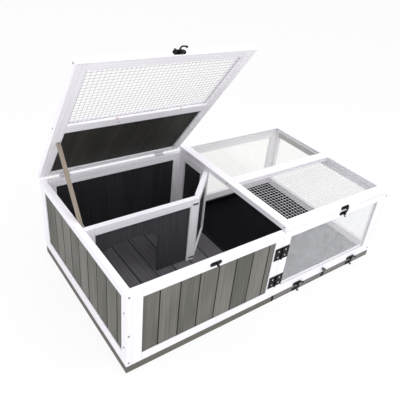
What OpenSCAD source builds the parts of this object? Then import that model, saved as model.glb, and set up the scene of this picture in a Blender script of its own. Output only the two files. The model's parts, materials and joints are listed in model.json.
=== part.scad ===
// Wooden reptile enclosure with two hinged lids, a side-hinged window door and a slide-out tray.
// X runs from left to right, Y from front to back, Z up.
// The origin is the centre of the footprint on the floor. All sizes are in millimetres.

/* [Body] */
// Outside width
body_w = 1050; // [900:1:1200]
// Outside depth
body_d = 600; // [520:1:680]
// Height of the walls above the floor
wall_top = 290; // [240:1:380]
// Height of the base
base_h = 25; // [24:1:36]
// Thickness of every wall board and lid
board_t = 18; // [15:0.5:22]
// Thickness of the bottom panel under the tray
bottom_t = 4; // [3:0.5:6]
// Width of the left half, from the left side to the right edge of the front plank panel
left_half_w = 529.5; // [480:0.5:560]

/* [Frames] */
// Width of the stiles of the front and rear panels
stile_w = 28; // [22:1:36]
// Width of the stile beside the door hinges
hinge_stile_w = 32.5; // [26:0.5:40]
// Width of the left wall's rear stile
wall_rear_stile_w = 40; // [30:1:50]
// Height of the top rails
top_rail_h = 27; // [22:1:36]
// Height of the bottom rail under the front planks
front_rail_h = 29; // [22:1:40]
// Height of the bottom rails of the side walls
wall_rail_h = 38; // [26:1:50]
// Hairline between two pieces of a frame
joint_gap = 0.2; // [0.1:0.05:0.4]
// Depth of the grooves that hold panes and planks
groove_d = 5; // [3:0.5:8]
// Clearance all round a pane or plank in its groove
groove_clear = 0.3; // [0.2:0.05:0.6]

/* [Planks] */
// Width of a front or rear plank
plank_w = 63; // [50:1:80]
// Width of a plank of the left wall
wall_plank_w = 61; // [50:1:80]
// Width of a floor plank
floor_plank_w = 67; // [50:1:80]
// Thickness of the wall planks
plank_t = 9; // [6:0.5:10]
// Thickness of the floor planks
floor_t = 10; // [6:0.5:14]
// Depth of the planks behind the face of their frame
plank_set = 4; // [2:0.5:6]
// Gap between two planks
plank_gap = 0.6; // [0.4:0.1:2]
// Bevel on the outer edges of a plank
plank_bevel = 2; // [1:0.25:3]
// Visible width of the first front plank
front_first = 51; // [30:1:60]
// Visible width of the first plank of the left wall
wall_first = 32; // [20:1:60]
// Width of the first floor plank
floor_first = 34; // [20:1:60]

/* [Door] */
// Width of the door's hinge stile
door_stile_l = 29.5; // [24:0.5:36]
// Width of the door's free stile
door_stile_r = 32; // [24:0.5:40]
// Height of the door's bottom rail
door_rail_b = 33; // [30:1:60]
// Height of the door's top rail
door_rail_t = 26; // [22:1:36]
// Gap between the door and the panel beside it
door_gap = 1; // [0.6:0.1:2]
// Thickness of the clear panes
pane_t = 3; // [2:0.5:5]
// Depth of the panes behind the face of their frame
pane_set = 6; // [3:0.5:9]

/* [Hide room] */
// Front face of the partition, measured from the front of the enclosure
part_y = 281; // [250:1:320]
// Right end of the straight partition
part_end = 403; // [380:1:420]
// Thickness of the partition panels
part_panel_t = 6; // [4:0.5:8]
// Depth of the partition panels behind the frame's face
part_set = 6; // [4:0.5:8]
// Left side of the doorway
door_arch_x = 68; // [60:1:90]
// Width of the doorway
door_arch_w = 192; // [150:1:220]
// Height of the doorway's apex above the floor of the room
arch_apex = 174; // [150:1:190]
// Rise of the doorway's arch
arch_rise = 22; // [12:1:40]
// Height of the bottom rails of the slanted and side partitions
low_rail_h = 13; // [10:1:30]
// Left face of the side partition
side_x = 525; // [515:1:535]

/* [Lids] */
// Gap between the walls and the closed lids, which holds the hinge leaves
lid_gap = 2; // [2:0.1:3]
// Gap between the two lids
lids_between = 6; // [3:0.5:10]
// Width of the side and front rails of a lid
lid_rail_w = 32; // [26:1:40]
// Width of a lid's rear rail
lid_rear_w = 25; // [22:1:50]
// Width of a lid's middle rail
lid_mid_w = 38; // [28:1:46]
// Distance of a lid's middle rail from the front edge
lid_mid_y = 278; // [240:1:300]
// Thickness of the left lid's board
lid_board_t = 6; // [4:0.5:8]
// Opening angle of the left lid on its prop
lid_open = 52.7; // [46:0.1:60]
// Distance between two wires of the net
net_pitch = 22; // [20:0.5:40]
// Thickness of a wire of the net
wire_t = 1.4; // [1:0.1:2]

/* [Prop] */
// Width of the prop stick
prop_w = 18; // [12:1:22]
// Thickness of the prop stick
prop_t = 8; // [5:0.5:12]
// Lean of the prop stick above the horizontal
prop_lean = 56; // [48:1:70]
// Distance of the prop's pivot from the front of the enclosure
prop_y = 322; // [316:1:340]
// Depth of the prop's pivot below the top of the walls
prop_drop = 13; // [10:0.5:14]

/* [Hinges] */
// Height of a door hinge
door_hinge_h = 47; // [36:1:60]
// Width of one leaf of a door hinge, from the pin
door_leaf_w = 29.5; // [22:0.5:30]
// Height of the middle of the lower door hinge
door_hinge_low = 95.5; // [80:0.5:110]
// Height of the middle of the upper door hinge
door_hinge_high = 211; // [190:0.5:220]
// Thickness of a door hinge leaf
door_leaf_t = 1.5; // [1:0.1:2.5]
// Distance of the door hinge screws from the pin
leaf_screw_in = 14.5; // [10:0.5:18]
// Distance of the door hinge screws above and below the middle of the hinge
leaf_screw_up = 11; // [6:0.5:16]
// Radius of the door hinge pins
door_pin_r = 1.2; // [1:0.1:2]
// Length of a lid hinge
lid_hinge_l = 35; // [28:1:50]
// Width of a lid hinge leaf, from the rear edge
lid_leaf_w = 14; // [10:1:18]
// Distance of a lid hinge from the end of its lid
lid_hinge_in = 83; // [60:1:120]
// Radius of the lid hinge pins
lid_pin_r = 1.5; // [1:0.1:2]
// Wall of a hinge knuckle around its pin
knuckle_wall = 1.5; // [1:0.1:2]
// Running clearance between a pin and its bore
pin_clear = 0.05; // [0.02:0.01:0.1]
// Gap between a moving piece and its neighbour
run_gap = 0.3; // [0.2:0.05:0.5]

/* [Latches] */
// Length of a latch plate
latch_l = 39; // [30:1:46]
// Height of a latch plate
latch_h = 13; // [10:0.5:14]
// Thickness of a latch plate
latch_t = 1.6; // [1:0.1:2.5]
// Distance between a pivot and its keeper knob
latch_reach = 22; // [20:0.5:26]
// Radius of the pivot post of a hook
post_r = 2.5; // [2:0.1:3]
// Radius of the bar of a hook
hook_bar_r = 2; // [1.5:0.1:2.4]
// Radius of the curve of a hook
hook_curve_r = 16.5; // [16:0.25:18]
// Radius of the ball at the end of a hook
hook_ball_r = 3.2; // [2.6:0.1:3.6]
// Distance between the pivot and the knob of a tray latch
low_reach = 24; // [22:0.5:26]
// Distance of the left lid's latch from the middle of its lid
left_latch_off = 6; // [0:1:60]
// Distance of the right lid's latch from the middle of its lid
latch_off = 11; // [0:1:60]
// Distance of the left tray latch from the door's hinge side
tray_latch_l_in = 116; // [80:1:150]
// Distance of the right tray latch from the door's free side
tray_latch_r_in = 100; // [80:1:130]
// Offset of the tray's pull from the middle of the door
pull_off = 5; // [0:1:20]
// Distance of the door knob from the middle of the door
knob_off = 7; // [0:1:20]
// Height of the door knob above the door's lower edge
knob_up = 19; // [12:1:30]
// Swing of the left lid's open hook away from its keeper
hook_open = 94; // [80:1:100]
// Swing of the open tray hooks away from their keepers
low_hook_open = 64; // [64:1:80]

/* [Tray] */
// Gap between the base strip and the tray front
notch_w = 10; // [6:0.5:14]
// Width of the middle runner under the side partition
runner_w = 21; // [18:0.5:26]
// Wall of the tray
tray_wall = 2; // [1.5:0.25:3]
// Running gap beside and under the tray
tray_gap = 1; // [0.5:0.1:2]
// Gap between the tray's rear wall and the base
tray_rear_gap = 4; // [2:0.5:10]
// Shortfall of the tray front at the right corner
tray_front_short = 3; // [1:0.5:6]

/* [Screws] */
// Radius of a screw head
head_r = 3; // [2:0.25:3.5]
// Height of a screw head above the face it sits on
head_h = 0.8; // [0.5:0.1:1.2]
// Radius of a screw shank
shank_r = 1.25; // [1:0.05:1.5]
// Depth of a screw in the wood
shank_in = 7; // [4:0.5:7.5]
// Clearance round a screw's shank in its hole
screw_clear = 0.1; // [0.05:0.05:0.3]

/* [Hidden] */
$fn = 48;

// Overshoot of a cut past the face it opens
cut = 1;

// Main heights and places
wall_h = wall_top - base_h;
lid_z = wall_top + lid_gap;
lid_top = lid_z + board_t;
inner_l = board_t;
inner_r = body_w - board_t;
inner_b = body_d - board_t;
room_z = base_h + floor_t;
seam_in = 3;
rear_seam = side_x - seam_in;
left_lid_w = (body_w - lids_between) / 2;
right_lid_x = body_w - left_lid_w;

// Door place
door_x = left_half_w + door_gap;
door_w = inner_r - door_x;
door_z = base_h + door_gap;
door_seam = left_half_w + door_gap / 2;

// Hinge axes: the door's is upright at the front seam, the lids' runs along the rear edge
door_knuckle_r = door_pin_r + pin_clear + knuckle_wall;
door_axis_y = -door_knuckle_r - run_gap;
lid_knuckle_r = lid_pin_r + pin_clear + knuckle_wall;
lid_axis_y = body_d + lid_knuckle_r + run_gap;
lid_axis_z = wall_top + lid_gap / 2;
leaf_play = 0.1;
lid_leaf_t = lid_gap / 2 - leaf_play;
knuckle_gap = 0.25;

// Prop: its tip touches the underside of the open left lid with the running gap between
prop_z = wall_top - prop_drop;
tip_r = prop_w / 2;
axis_to_prop_y = lid_axis_y - prop_y;
axis_to_prop_z = lid_axis_z - prop_z;
prop_l = (lid_gap / 2 - tip_r - run_gap + axis_to_prop_y * sin(lid_open)
    + axis_to_prop_z * cos(lid_open)) / sin(prop_lean + lid_open);
prop_x = inner_l + run_gap;
prop_screw_r = 2.5;
prop_head_r = 5;
prop_head_h = 2.4;

// Latch places: a pivot plate and the keeper below or above it
latch_mid_z = lid_z + board_t / 2;
latch_low_z = latch_mid_z - latch_reach;
left_latch_x = left_lid_w / 2 + left_latch_off;
right_latch_x = right_lid_x + left_lid_w / 2 + latch_off;
door_mid_x = door_x + door_w / 2;
plate_edge = 0.5;
tray_plate_z = door_z + latch_h / 2 + plate_edge;
tray_keeper_z = tray_plate_z - low_reach;
latch_head_r = 2.6;
eye_wall = 2.4;
eye_t = 4;
eye_out = 2.6;
post_head_r = 4;
post_head_h = 1.5;
knob_neck_r = 2;
knob_head_r = 4;
knob_out = 8;
knob_head_h = 2.5;
hook_start = 72.3;
hook_sweep = 107.3;
tail_l = 14;
tail_r = 1.4;
tail_ball_r = 2.8;
tail_lean = 25;

// Door knob and the tray's strap
door_knob_neck_r = 3;
door_knob_neck_l = 6;
door_knob_r = 6.5;
door_knob_t = 6;
pull_w = 6;
pull_t = 3;
pull_l = 18;
pull_lean = 28;
pull_down = 1;

// Tray
tray_x = rear_seam + runner_w + tray_gap;
tray_r = inner_r - tray_gap;
tray_z = bottom_t + tray_gap / 2;
tray_top = base_h - tray_gap;
tray_end = inner_b - tray_rear_gap;
strip_over = 2.5;
strip_end = left_half_w + strip_over;
tray_front_l = strip_end + notch_w;
tray_front_r = body_w - tray_front_short;

// Batten width of the base, wider than the walls so the floor planks rest on it
ledger_w = 12;
batten_w = board_t + ledger_w;

// Small differences between rails and posts that look alike
left_rail_less = 2;
right_rail_more = 1;
post_more = 1;

// Net
net_bays = floor((lid_mid_y - lid_rail_w) / net_pitch);
net_cols = floor((left_lid_w - 2 * lid_rail_w) / net_pitch);

// Colours
white_paint = [0.96, 0.96, 0.97];
grey_wash = [0.46, 0.45, 0.43];
base_grey = [0.44, 0.42, 0.40];
black_paint = [0.12, 0.12, 0.13];
dark_panel = [0.24, 0.24, 0.25];
clear_sheet = [0.85, 0.92, 0.95, 0.35];
steel = [0.72, 0.72, 0.74];
bare_wood = [0.62, 0.57, 0.52];

// Shared shapes

module from_corner() translate([-body_w / 2, -body_d / 2, 0]) children();

module block(low, high) translate(low) cube(high - low);

// Swaps X and Y, so a panel drawn along X runs along Y
module along_y() mirror([1, -1, 0]) children();

module at_rear() translate([0, body_d, 0]) mirror([0, 1, 0]) children();

module at_right() translate([body_w, 0, 0]) mirror([1, 0, 0]) along_y() children();

// Four bars round an opening, drawn in X and Z with the outer face at Y = 0.
// bars holds the widths of the left stile, right stile, bottom rail and top rail.
module bars(len, low, high, bars, over = false) {
    rail_a = over ? 0 : bars[0] + joint_gap;
    rail_b = over ? len : len - bars[1] - joint_gap;
    stile_a = over ? low + bars[2] + joint_gap : low;
    stile_b = over ? high - bars[3] - joint_gap : high;
    block([0, 0, stile_a], [bars[0], board_t, stile_b]);
    block([len - bars[1], 0, stile_a], [len, board_t, stile_b]);
    if (bars[2] > 0) block([rail_a, 0, low], [rail_b, board_t, low + bars[2]]);
    if (bars[3] > 0) block([rail_a, 0, high - bars[3]], [rail_b, board_t, high]);
}

// The space of an infill: opening plus grow on each side, from depth set, thick
module infill(len, low, high, bars, set, thick, grow) {
    block([bars[0] - grow, set, low + bars[2] - grow],
        [len - bars[1] + grow, set + thick, high - bars[3] + grow]);
}

// Frame with a groove for its infill
module grooved_frame(len, low, high, bars, set, thick, over = false) {
    difference() {
        bars(len, low, high, bars, over);
        infill(len, low, high, bars, set - groove_clear, thick + 2 * groove_clear, groove_d);
    }
}

// Sheet that fills a grooved frame
module sheet_in(len, low, high, bars, set, thick) {
    infill(len, low, high, bars, set, thick, groove_d - groove_clear);
}

// Seams of a row of planks: a first plank, then even planks, and the rest
function seams(len, first, step) =
    [0, for (s = first; s < len - step / 4; s = s + step) s, len];

// Upright planks with bevelled outer edges, seated in the grooves of a frame
module planks_in(len, low, high, bars, first, step) {
    open = len - bars[0] - bars[1];
    marks = seams(open, first, step);
    sink = groove_d - groove_clear;
    for (i = [0 : len(marks) - 2]) {
        a = bars[0] + marks[i] + (i == 0 ? -sink : plank_gap / 2);
        b = bars[0] + marks[i + 1] + (i == len(marks) - 2 ? sink : -plank_gap / 2);
        translate([0, plank_set, low + bars[2] - sink])
            linear_extrude(high - low - bars[2] - bars[3] + 2 * sink)
                plank_outline(a, b, plank_t);
    }
}

module plank_outline(a, b, thick) {
    polygon([
        [a, plank_bevel], [a + plank_bevel, 0], [b - plank_bevel, 0],
        [b, plank_bevel], [b, thick], [a, thick],
    ]);
}

// Screw along -Y into a face at Y = 0: head on the face, shank in the wood
module screw(grow = 0) {
    rotate([90, 0, 0]) cylinder(r = head_r, h = head_h);
    rotate([-90, 0, 0]) cylinder(r = shank_r + grow, h = shank_in + grow);
}

// Hole that a screw needs through metal and wood, with no head
module pilot(through = 0) {
    translate([0, -through - cut, 0])
        rotate([-90, 0, 0])
            cylinder(r = shank_r + screw_clear, h = shank_in + through + cut + joint_gap);
}

// Hinges

// Three knuckles round an axis along Z; part picks the outer two or the middle one
module knuckles(len, pin_r, outer_r, part) {
    third = len / 3;
    spans = part == "outer" ? [[0, third], [2 * third, len]] : [[third, 2 * third]];
    for (s = spans)
        translate([0, 0, s[0] + knuckle_gap])
            difference() {
                cylinder(r = outer_r, h = s[1] - s[0] - 2 * knuckle_gap);
                translate([0, 0, -cut]) cylinder(r = pin_r + pin_clear, h = len);
            }
}

// Door hinge leaf: side is -1 for the fixed leaf and 1 for the moving one
module door_leaf(mid_z, side) {
    part = side < 0 ? "outer" : "middle";
    low = mid_z - door_hinge_h / 2;
    third = door_hinge_h / 3;
    spans = side < 0 ? [[0, third], [2 * third, door_hinge_h]] : [[third, 2 * third]];
    translate([door_seam, door_axis_y, low])
        knuckles(door_hinge_h, door_pin_r, door_knuckle_r, part);
    difference() {
        union() {
            translate([door_seam, -door_leaf_t, low])
                mirror([side < 0 ? 1 : 0, 0, 0])
                    translate([door_knuckle_r + run_gap, 0, 0])
                        cube([door_leaf_w - door_knuckle_r - run_gap, door_leaf_t, door_hinge_h]);
            for (s = spans)
                translate([door_seam, -door_leaf_t, low + s[0] + knuckle_gap])
                    mirror([side < 0 ? 1 : 0, 0, 0])
                        translate([run_gap, 0, 0])
                            cube([door_knuckle_r + run_gap, door_leaf_t,
                                s[1] - s[0] - 2 * knuckle_gap]);
        }
        translate([door_seam, door_axis_y, low - cut])
            cylinder(r = door_knuckle_r - knuckle_wall / 2, h = door_hinge_h + 2 * cut);
        for (p = door_screw_spots(side)) translate([p[0], 0, p[1]]) pilot(door_leaf_t);
    }
}

function door_screw_spots(side) = [
    for (mid = [door_hinge_low, door_hinge_high], up = [-1, 1])
        [door_seam + side * leaf_screw_in, mid + up * leaf_screw_up]
];

function door_hinges() = [door_hinge_low, door_hinge_high];

function lid_hinges(lid_x) = [lid_x + lid_hinge_in, lid_x + left_lid_w - lid_hinge_in];

// Lid hinge leaf at x: the fixed one lies on the wall, the moving one under the lid
module lid_leaf(x, moving) {
    third = lid_hinge_l / 3;
    spans = moving ? [[third, 2 * third]] : [[0, third], [2 * third, lid_hinge_l]];
    leaf_z = moving ? lid_z - lid_leaf_t : wall_top;
    low_x = x - lid_hinge_l / 2;
    translate([low_x, lid_axis_y, lid_axis_z])
        rotate([90, 0, 90])
            knuckles(lid_hinge_l, lid_pin_r, lid_knuckle_r, moving ? "middle" : "outer");
    difference() {
        union() {
            block([low_x, body_d - lid_leaf_w, leaf_z],
                [low_x + lid_hinge_l, body_d, leaf_z + lid_leaf_t]);
            for (s = spans)
                block([low_x + s[0] + knuckle_gap, body_d - cut, leaf_z],
                    [low_x + s[1] - knuckle_gap, lid_axis_y, leaf_z + lid_leaf_t]);
        }
        translate([low_x - cut, lid_axis_y, lid_axis_z])
            rotate([90, 0, 90])
                cylinder(r = lid_knuckle_r - knuckle_wall / 2, h = lid_hinge_l + 2 * cut);
        for (side = [-1, 1])
            translate([x + side * lid_hinge_l / 3, body_d - lid_leaf_w / 2, leaf_z - cut])
                cylinder(r = shank_r + screw_clear, h = lid_leaf_t + 2 * cut);
    }
}

// Countersunk screw of a lid leaf: up is 1 where it goes up into the lid, -1 down into the wall
module leaf_screw(x, up, grow = 0) {
    leaf_z = up > 0 ? lid_z - lid_leaf_t : wall_top + lid_leaf_t;
    for (side = [-1, 1])
        translate([x + side * lid_hinge_l / 3, body_d - lid_leaf_w / 2, leaf_z])
            mirror([0, 0, up > 0 ? 0 : 1])
                cylinder(r = shank_r + grow, h = shank_in + grow);
}

// Latches, drawn on a face at Y = 0 that looks along -Y, with the plate's middle at the origin

module latch_plate() {
    straight = latch_l - latch_h;
    difference() {
        rotate([90, 0, 0])
            linear_extrude(latch_t) {
                square([straight, latch_h], center = true);
                for (side = [-1, 1]) translate([side * straight / 2, 0]) circle(r = latch_h / 2);
            }
        for (side = [-1, 1]) translate([side * straight / 2, 0, 0]) pilot(latch_t);
    }
}

module latch_screws() {
    for (side = [-1, 1])
        translate([side * (latch_l - latch_h) / 2, 0, 0]) {
            translate([0, -latch_t, 0]) rotate([90, 0, 0]) cylinder(r = latch_head_r, h = head_h);
            translate([0, -latch_t, 0])
                rotate([-90, 0, 0]) cylinder(r = shank_r, h = shank_in + latch_t);
        }
}

module latch_pilots() {
    for (side = [-1, 1]) translate([side * (latch_l - latch_h) / 2, 0, 0]) pilot();
}

// Plate with the post that a hook turns on
module pivot_plate() {
    latch_plate();
    rotate([90, 0, 0]) cylinder(r = post_r, h = latch_t + eye_out + eye_t + run_gap + cut);
    translate([0, -latch_t - eye_out - eye_t - run_gap, 0])
        rotate([90, 0, 0]) cylinder(r = post_head_r, h = post_head_h);
}

// Plate with the knob that a hook catches
module keeper_plate() {
    latch_plate();
    rotate([90, 0, 0]) cylinder(r = knob_neck_r, h = latch_t + knob_out);
    translate([0, -latch_t - knob_out + cut, 0])
        rotate([90, 0, 0]) cylinder(r1 = knob_neck_r, r2 = knob_head_r, h = cut);
    translate([0, -latch_t - knob_out, 0])
        rotate([90, 0, 0]) cylinder(r = knob_head_r, h = knob_head_h);
}

// Hook that hangs from its eye towards -Z and passes its keeper knob on the +X side
module hook(tail = true) {
    mid_y = -latch_t - eye_out - eye_t / 2;
    turn = hook_start - hook_sweep;
    centre = [-hook_curve_r * cos(hook_start), -hook_curve_r * sin(hook_start)];
    end = centre + hook_curve_r * [cos(turn), sin(turn)];
    difference() {
        union() {
            translate([0, mid_y + eye_t / 2, 0])
                rotate([90, 0, 0]) cylinder(r = post_r + eye_wall, h = eye_t);
            translate([centre[0], mid_y, centre[1]])
                rotate([90, 0, 0])
                    rotate([0, 0, turn])
                        rotate_extrude(angle = hook_sweep)
                            translate([hook_curve_r, 0]) circle(hook_bar_r);
            translate([end[0], mid_y, end[1]]) sphere(r = hook_ball_r);
            if (tail)
                translate([0, mid_y, 0]) rotate([0, tail_lean, 0]) {
                    cylinder(r = tail_r, h = tail_l);
                    translate([0, 0, tail_l]) sphere(r = tail_ball_r);
                }
        }
        rotate([90, 0, 0]) cylinder(r = post_r + pin_clear, h = -mid_y + eye_t);
    }
}

// The left lid and what it carries are drawn shut and turned open on the hinge axis
module lid_turned_open() {
    translate([0, lid_axis_y, lid_axis_z])
        rotate([-lid_open, 0, 0])
            translate([0, -lid_axis_y, -lid_axis_z]) children();
}

// Base

module base_frame() from_corner() color(base_grey) {
    block([0, 0, 0], [strip_end, board_t, base_h]);
    block([0, board_t + joint_gap, 0], [board_t, body_d, base_h]);
    block([board_t + joint_gap, inner_b, 0], [inner_r - joint_gap, body_d, base_h]);
    block([inner_r, board_t + tray_gap, 0], [body_w, body_d, base_h]);
    // ledgers that carry the floor planks
    block([board_t + joint_gap, board_t + joint_gap, bottom_t + joint_gap],
        [batten_w, inner_b - joint_gap, base_h]);
    block([batten_w + joint_gap, board_t + joint_gap, bottom_t + joint_gap],
        [rear_seam - joint_gap, batten_w, base_h]);
    block([batten_w + joint_gap, body_d - batten_w, bottom_t + joint_gap],
        [rear_seam - joint_gap, inner_b - joint_gap, base_h]);
    block([batten_w + joint_gap, part_y, bottom_t + joint_gap],
        [rear_seam - joint_gap, part_y + board_t, base_h]);
}

module bottom_panel() from_corner() color(base_grey)
    block([board_t + joint_gap, board_t + joint_gap, 0],
        [inner_r - joint_gap, inner_b - joint_gap, bottom_t]);

// Runner beside the tray. Its front end fills the notch between the base strip and the tray front.
module middle_runner() from_corner() color(black_paint) {
    block([rear_seam, board_t + joint_gap, bottom_t + joint_gap],
        [rear_seam + runner_w, inner_b - joint_gap, base_h]);
    block([strip_end + joint_gap, 0, 0], [tray_front_l - tray_gap, board_t, base_h]);
    block([strip_end + joint_gap, board_t - cut, bottom_t + joint_gap],
        [tray_front_l - tray_gap, board_t + joint_gap + cut, base_h]);
}

module floor_planks() from_corner() color(grey_wash) {
    len = rear_seam - inner_l;
    marks = seams(len, floor_first, floor_plank_w);
    for (i = [0 : len(marks) - 2])
        translate([inner_l, inner_b - joint_gap, room_z])
            rotate([90, 0, 0])
                linear_extrude(inner_b - board_t - 2 * joint_gap)
                    mirror([0, 1])
                        plank_outline(marks[i] + plank_gap / 2, marks[i + 1] - plank_gap / 2,
                            floor_t - joint_gap / 2);
}

// Walls

left_wall_bars = [stile_w, wall_rear_stile_w, wall_rail_h, top_rail_h - left_rail_less];
front_len = left_half_w - board_t;
front_bars = [stile_w, hinge_stile_w, front_rail_h, top_rail_h];
rear_left_len = rear_seam - board_t;
rear_bars = [stile_w, stile_w, front_rail_h, top_rail_h];
rear_right_len = inner_r - rear_seam;
right_bars = [stile_w, stile_w, front_rail_h, top_rail_h + right_rail_more];

module left_wall_frame() from_corner() color(white_paint)
    difference() {
        along_y()
            grooved_frame(body_d, base_h, wall_top, left_wall_bars, plank_set, plank_t);
        wood_pilots();
        prop_hole();
    }

module left_wall_planks() from_corner() color(grey_wash)
    along_y() planks_in(body_d, base_h, wall_top, left_wall_bars, wall_first, wall_plank_w);

module front_panel_frame() from_corner() color(white_paint)
    difference() {
        translate([board_t, 0, 0])
            grooved_frame(front_len - joint_gap, base_h, wall_top, front_bars, plank_set, plank_t);
        wood_pilots();
        for (p = door_screw_spots(-1)) translate([p[0], 0, p[1]]) pilot();
        translate([left_latch_x, 0, latch_low_z]) latch_pilots();
    }

module front_panel_planks() from_corner() color(grey_wash)
    translate([board_t, 0, 0])
        planks_in(front_len - joint_gap, base_h, wall_top, front_bars, front_first, plank_w);

module rear_left_frame() from_corner() color(white_paint)
    difference() {
        at_rear() translate([board_t + joint_gap, 0, 0])
            grooved_frame(rear_left_len - 2 * joint_gap, base_h, wall_top, rear_bars,
                plank_set, plank_t);
        for (x = lid_hinges(0)) leaf_screw(x, -1, screw_clear);
    }

module rear_left_planks() from_corner() color(black_paint)
    at_rear() translate([board_t + joint_gap, 0, 0])
        planks_in(rear_left_len - 2 * joint_gap, base_h, wall_top, rear_bars, front_first, plank_w);

module rear_right_frame() from_corner() color(white_paint)
    difference() {
        at_rear() translate([rear_seam + joint_gap, 0, 0])
            grooved_frame(rear_right_len - 2 * joint_gap, base_h, wall_top, rear_bars,
                pane_set, pane_t);
        for (x = lid_hinges(right_lid_x)) leaf_screw(x, -1, screw_clear);
    }

module rear_pane() from_corner() color(clear_sheet)
    at_rear() translate([rear_seam + joint_gap, 0, 0])
        sheet_in(rear_right_len - 2 * joint_gap, base_h, wall_top, rear_bars, pane_set, pane_t);

// The right wall's top rail is a piece of its own, so the frame has no top bar
module right_wall_frame() from_corner() color(white_paint)
    difference() {
        at_right()
            grooved_frame(body_d, base_h, wall_top, right_bars, pane_set, pane_t);
        translate([inner_r - cut, right_bars[0], wall_top - right_bars[3] - joint_gap])
            cube([board_t + 2 * cut, body_d - right_bars[0] - right_bars[1], right_bars[3] + cut]);
        wood_pilots();
    }

module right_wall_top_rail() from_corner() color(grey_wash)
    difference() {
        intersection() {
            at_right()
                grooved_frame(body_d, base_h, wall_top, right_bars, pane_set, pane_t);
            translate([inner_r - cut, right_bars[0] + joint_gap / 2, wall_top - right_bars[3]])
                cube([board_t + 2 * cut, body_d - right_bars[0] - right_bars[1] - joint_gap,
                    right_bars[3]]);
        }
        wood_pilots();
    }

module right_pane() from_corner() color(clear_sheet)
    at_right() sheet_in(body_d, base_h, wall_top, right_bars, pane_set, pane_t);

// Hide room

part_len = part_end - inner_l;
part_bars = [stile_w, stile_w + post_more, 0, top_rail_h];

// Two posts and a top rail, with no rail at the foot
module partition_frame() from_corner() color(white_paint)
    translate([inner_l + joint_gap, part_y, 0])
        grooved_frame(part_len - joint_gap, room_z, wall_top, part_bars, part_set, part_panel_t);

// Panel that stands on the floor, with a doorway under a shallow arch
module partition_panel() from_corner() color(dark_panel) {
    apex = room_z + arch_apex;
    half = door_arch_w / 2;
    arch_r = (half * half + arch_rise * arch_rise) / (2 * arch_rise);
    sink = groove_d - groove_clear;
    left = inner_l + joint_gap + part_bars[0] - sink;
    right = part_end - part_bars[1] + sink;
    low = room_z + joint_gap;
    top = wall_top - part_bars[3] + sink;
    translate([0, part_y + part_set + part_panel_t, 0])
        rotate([90, 0, 0])
            linear_extrude(part_panel_t)
                difference() {
                    translate([left, low]) square([right - left, top - low]);
                    intersection() {
                        translate([door_arch_x, low - cut])
                            square([door_arch_w, apex - low + 2 * cut]);
                        translate([door_arch_x + half, apex - arch_r])
                            circle(r = arch_r, $fn = 180);
                    }
                }
}

// The slanted wall runs at 45 degrees from the partition's end to the side partition
slant_x = part_end + joint_gap;
slant_y = part_y + joint_gap;
slant_far = side_x + board_t;
slant_len = (slant_far - slant_x) * sqrt(2);
slant_bars = [stile_w, stile_w, low_rail_h, top_rail_h];

module slant_turned() {
    translate([slant_x, slant_y, 0]) rotate([0, 0, 45]) children();
}

// The frame is drawn too long by a board at each end, and its ends are cut square to the walls
module slanted_frame() from_corner() color(white_paint)
    intersection() {
        block([slant_x, slant_y - cut, room_z - cut],
            [slant_far + cut, slant_y + slant_far - slant_x, wall_top + cut]);
        slant_turned()
            translate([-board_t, 0, 0])
                grooved_frame(slant_len + 2 * board_t, room_z, wall_top,
                    slant_bars + [board_t, board_t, 0, 0], part_set, part_panel_t, true);
    }

module slanted_panel() from_corner() color(dark_panel)
    slant_turned() sheet_in(slant_len, room_z, wall_top, slant_bars, part_set, part_panel_t);

side_y = slant_y + slant_far - slant_x + joint_gap;
side_len = inner_b - side_y - joint_gap;
side_bars = [stile_w, stile_w, low_rail_h + floor_t, top_rail_h];

module side_partition_frame() from_corner() color(white_paint)
    translate([side_x + board_t, side_y, 0]) mirror([1, 0, 0]) along_y()
        grooved_frame(side_len, base_h, wall_top, side_bars, part_set, part_panel_t);

module side_partition_panel() from_corner() color(black_paint)
    translate([side_x + board_t, side_y, 0]) mirror([1, 0, 0]) along_y()
        sheet_in(side_len, base_h, wall_top, side_bars, part_set, part_panel_t);

// Screws of the frame: heads on the front at both ends, and on the left wall's front stile
corner_screw_in = 7;
corner_screw_down = 12;
middle_screw_z = 142;
foot_screw_up = 13;
right_foot_in = 13;
right_foot_up = 16;
side_screw_in = 13.5;
side_screw_low = 91.5;
side_screw_high = 218;
front_screws = [
    [corner_screw_in, wall_top - corner_screw_down],
    [corner_screw_in, middle_screw_z],
    [corner_screw_in, base_h + foot_screw_up],
    [body_w - corner_screw_in, wall_top - corner_screw_down],
    [body_w - right_foot_in, base_h + right_foot_up],
];
left_screws = [[side_screw_in, side_screw_high], [side_screw_in, side_screw_low]];

module wood_pilots() {
    for (p = front_screws) translate([p[0], 0, p[1]]) pilot();
    for (p = left_screws) along_y() translate([p[0], 0, p[1]]) pilot();
}

module frame_screws() from_corner() color(steel) {
    for (p = front_screws) translate([p[0], 0, p[1]]) screw();
    for (p = left_screws) along_y() translate([p[0], 0, p[1]]) screw();
}

// Fixed metal pieces

module front_keeper() from_corner() color(black_paint)
    translate([left_latch_x, 0, latch_low_z]) keeper_plate();

module lid_hinge_leaves_fixed() from_corner() color(steel)
    for (lid_x = [0, right_lid_x], x = lid_hinges(lid_x)) lid_leaf(x, false);

module lid_hinge_pins() from_corner() color(steel)
    for (lid_x = [0, right_lid_x], x = lid_hinges(lid_x))
        translate([x - lid_hinge_l / 2, lid_axis_y, lid_axis_z])
            rotate([0, 90, 0]) cylinder(r = lid_pin_r, h = lid_hinge_l);

module door_hinge_leaves_fixed() from_corner() color(black_paint)
    for (z = door_hinges()) door_leaf(z, -1);

module door_hinge_pins() from_corner() color(black_paint)
    for (z = door_hinges())
        translate([door_seam, door_axis_y, z - door_hinge_h / 2])
            cylinder(r = door_pin_r, h = door_hinge_h);

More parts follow.
